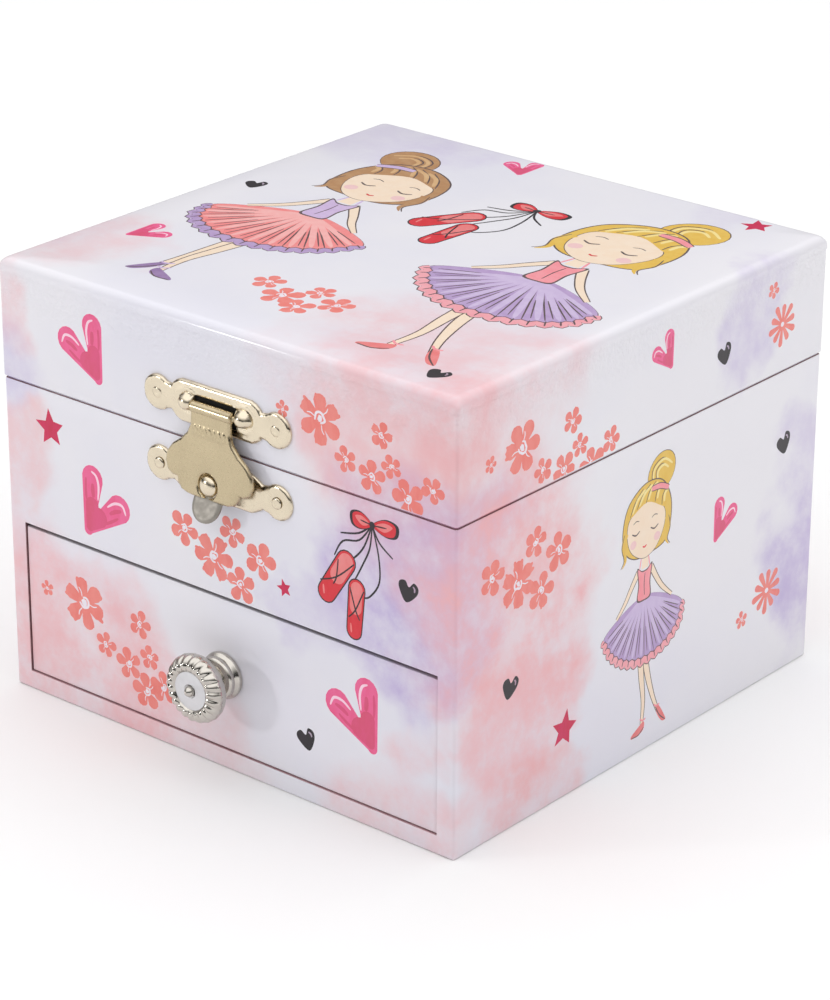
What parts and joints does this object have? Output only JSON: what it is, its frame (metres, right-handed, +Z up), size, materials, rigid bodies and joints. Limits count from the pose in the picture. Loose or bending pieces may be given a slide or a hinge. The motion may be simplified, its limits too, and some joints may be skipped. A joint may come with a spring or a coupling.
{
  "type": "musical jewellery box",
  "caption": "Square paper-covered musical jewellery box with a hinged lid, brass hasp, drawer with a round knob, clockwork movement and pop-up dancer.",
  "frame": {"origin": "centre of the case's underside, on the surface it rests on", "axes": "+X to the right and -Y out of the front, where the hasp and the knob are; +Z up"},
  "size_m": [0.12, 0.1501, 0.096],
  "materials": {
    "printed_paper_board": "gloss laminated print",
    "pink_lining": "flocked",
    "ring_velvet": "velvet over foam",
    "mirror_glass": "polished",
    "pale_brass": "pale gold plating",
    "bright_nickel": "bright plating",
    "steel": "satin",
    "movement_brass": "machined",
    "dancer_plastic": "moulded and painted",
    "dancer_tulle": "tulle"
  },
  "bodies": {
    "case": {"case_bottom": "printed_paper_board", "case_left_wall": "printed_paper_board", "case_right_wall": "printed_paper_board", "case_back_wall": "printed_paper_board", "case_front_rail": "printed_paper_board", "shelf_board": "pink_lining", "stage_riser": "pink_lining", "stage_board": "pink_lining", "tray_divider": "pink_lining", "ring_roll_1": "ring_velvet", "ring_roll_2": "ring_velvet", "ring_roll_3": "ring_velvet", "latch_lower_plate": "pale_brass", "latch_stud": "pale_brass", "latch_lower_nail_left": "pale_brass", "latch_lower_nail_right": "pale_brass", "hinge_left_lower_leaf": "steel", "hinge_left_pin": "steel", "hinge_left_lower_nail_1": "pale_brass", "hinge_left_lower_nail_2": "pale_brass", "hinge_right_lower_leaf": "steel", "hinge_right_pin": "steel", "hinge_right_lower_nail_1": "pale_brass", "hinge_right_lower_nail_2": "pale_brass", "movement_frame": "steel", "music_comb": "steel", "governor_bracket": "steel"},
    "lid": {"latch_upper_plate": "pale_brass", "latch_upper_nail_left": "pale_brass", "latch_upper_nail_right": "pale_brass", "lid_rim": "printed_paper_board", "lid_top_board": "printed_paper_board", "lid_mirror": "mirror_glass", "mirror_frame": "pink_lining", "hinge_left_upper_leaf": "steel", "hinge_left_upper_nail_1": "pale_brass", "hinge_left_upper_nail_2": "pale_brass", "hinge_right_upper_leaf": "steel", "hinge_right_upper_nail_1": "pale_brass", "hinge_right_upper_nail_2": "pale_brass"},
    "hasp": {"latch_hasp": "pale_brass"},
    "drawer": {"drawer_front": "printed_paper_board", "drawer_bottom": "pink_lining", "drawer_left_side": "pink_lining", "drawer_right_side": "pink_lining", "drawer_back": "pink_lining", "knob_collar": "bright_nickel", "knob_head": "bright_nickel", "knob_screw": "steel"},
    "barrel": {"spring_barrel": "movement_brass", "mainspring": "steel"},
    "key": {"winding_arbor": "steel", "winding_key": "pale_brass"},
    "cylinder": {"pinned_cylinder": "movement_brass"},
    "governor": {"governor_fly": "steel"},
    "spindle": {"dancer_spindle": "movement_brass"},
    "stop_wire": {"stop_wire": "steel"},
    "spring": {"dancer_spring": "steel"},
    "dancer": {"dancer_figure": "dancer_plastic", "dancer_tutu": "dancer_tulle"}
  },
  "joints": [
    {"name": "lid_hinge", "type": "hinge", "parent": "case", "child": "lid", "pos_m": [0, 0.0618, 0.07035], "axis": [-1, 0, 0], "range_deg": [0, 100]},
    {"name": "hasp_swing", "type": "hinge", "parent": "lid", "child": "hasp", "pos_m": [0, -0.0618, 0.0785], "axis": [-1, 0, 0], "range_deg": [-4, 150]},
    {"name": "drawer_slide", "type": "slide", "parent": "case", "child": "drawer", "axis": [0, -1, 0], "range_m": [0, 0.08]},
    {"name": "key_turn", "type": "hinge", "parent": "case", "child": "key", "pos_m": [-0.014, 0.06, 0.0522], "axis": [0, 1, 0], "continuous": true},
    {"name": "cylinder_turn", "type": "hinge", "parent": "case", "child": "cylinder", "pos_m": [0, 0.0252, 0.0522], "axis": [0, 1, 0], "continuous": true},
    {"name": "barrel_turn", "type": "hinge", "parent": "case", "child": "barrel", "pos_m": [-0.014, 0.053, 0.0522], "axis": [0, 1, 0], "continuous": true},
    {"name": "governor_turn", "type": "hinge", "parent": "case", "child": "governor", "pos_m": [0.0075, 0.023, 0.0522], "axis": [0, 0, 1], "continuous": true},
    {"name": "spindle_turn", "type": "hinge", "parent": "case", "child": "spindle", "pos_m": [0, 0.015, 0.0626], "axis": [0, 0, 1], "continuous": true},
    {"name": "dancer_tilt", "type": "hinge", "parent": "case", "child": "spring", "pos_m": [0, 0.015, 0.0694], "axis": [-1, 0, 0], "range_deg": [0, 74], "deforming": ["dancer_spring"]},
    {"name": "dancer_turn", "type": "hinge", "parent": "spring", "child": "dancer", "pos_m": [0, 0.015, 0.0694], "axis": [0, -0.9613, 0.2756], "continuous": true},
    {"name": "stop_wire_slide", "type": "slide", "parent": "case", "child": "stop_wire", "axis": [0, 0, 1], "range_m": [0, 0.003]}
  ],
  "couplings": [
    {"joint": "barrel_turn", "follows": "cylinder_turn", "ratio": -0.75},
    {"joint": "governor_turn", "follows": "cylinder_turn", "ratio": 24},
    {"joint": "spindle_turn", "follows": "cylinder_turn", "ratio": -0.75},
    {"joint": "dancer_turn", "follows": "cylinder_turn", "ratio": -0.75},
    {"joint": "dancer_tilt", "follows": "lid_hinge", "ratio": 0.74},
    {"joint": "stop_wire_slide", "follows": "lid_hinge", "m_per_rad": 0.001719}
  ]
}
